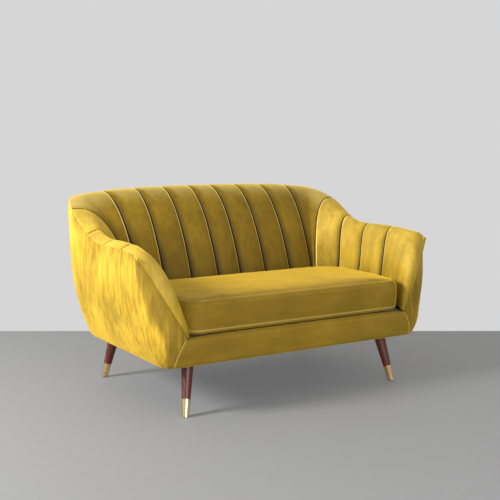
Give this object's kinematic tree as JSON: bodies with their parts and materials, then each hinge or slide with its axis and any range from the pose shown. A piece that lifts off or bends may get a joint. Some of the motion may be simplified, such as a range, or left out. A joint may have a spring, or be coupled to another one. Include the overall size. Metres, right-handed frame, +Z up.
{
  "type": "two-seat sofa",
  "caption": "Two-seat sofa with a wrap-round channelled velvet back, a loose bench cushion and splayed wooden legs with brass ferrules.",
  "frame": {"origin": "on the floor, under the middle of the sofa's overall box", "axes": "+X to the right seen from in front of the sofa, +Y from front to back, +Z up; the seat faces -Y"},
  "size_m": [1.3774, 0.9201, 0.825],
  "materials": {
    "velvet": "matte",
    "dust_cloth": "matte",
    "frame_wood": "matte",
    "webbing": "matte",
    "deck_pad": "matte",
    "zinc_steel": "satin",
    "leg_wood": "gloss",
    "brass": "polished",
    "glide": "matte",
    "foam": "matte",
    "fibre": "matte",
    "zip_tape": "matte",
    "zip_metal": "satin"
  },
  "bodies": {
    "sofa_body": {"front_rail_cover": "velvet", "outer_side_left": "velvet", "outer_side_right": "velvet", "outer_back": "velvet", "dust_cover": "dust_cloth", "back_channel_1": "velvet", "back_channel_2": "velvet", "back_channel_3": "velvet", "back_channel_4": "velvet", "back_channel_5": "velvet", "back_channel_6": "velvet", "back_channel_7": "velvet", "back_channel_8": "velvet", "back_channel_9": "velvet", "left_arm_channel_1": "velvet", "left_arm_channel_2": "velvet", "left_arm_channel_3": "velvet", "left_arm_channel_4": "velvet", "right_arm_channel_1": "velvet", "right_arm_channel_2": "velvet", "right_arm_channel_3": "velvet", "right_arm_channel_4": "velvet", "front_rail": "frame_wood", "back_rail": "frame_wood", "left_side_rail": "frame_wood", "right_side_rail": "frame_wood", "centre_stretcher": "frame_wood", "left_front_post": "frame_wood", "right_front_post": "frame_wood", "left_rear_post": "frame_wood", "right_rear_post": "frame_wood", "left_arm_rail": "frame_wood", "right_arm_rail": "frame_wood", "back_posts": "frame_wood", "back_top_rail": "frame_wood", "lumbar_rail": "frame_wood", "corner_blocks": "frame_wood", "seat_webbing": "webbing", "seat_webbing_cross": "webbing", "seat_deck": "deck_pad", "leg_plates": "zinc_steel", "plate_screws": "zinc_steel", "hanger_bolts": "zinc_steel", "front_right_leg": "leg_wood", "front_left_leg": "leg_wood", "rear_right_leg": "leg_wood", "rear_left_leg": "leg_wood", "ferrules": "brass", "floor_glides": "glide"},
    "seat_cushion": {"cushion_foam": "foam", "cushion_fibre": "fibre", "cushion_top_cover": "velvet", "cushion_boxing": "velvet", "cushion_bottom_cover": "velvet", "cushion_zip": "zip_tape"},
    "zip_pull": {"zip_slider": "zip_metal"}
  },
  "joints": [
    {"name": "cushion_lift", "type": "slide", "parent": "sofa_body", "child": "seat_cushion", "axis": [0, 0, 1], "range_m": [0, 0.3]},
    {"name": "zip_run", "type": "slide", "parent": "seat_cushion", "child": "zip_pull", "axis": [1, 0, 0], "range_m": [0, 0.54]}
  ]
}
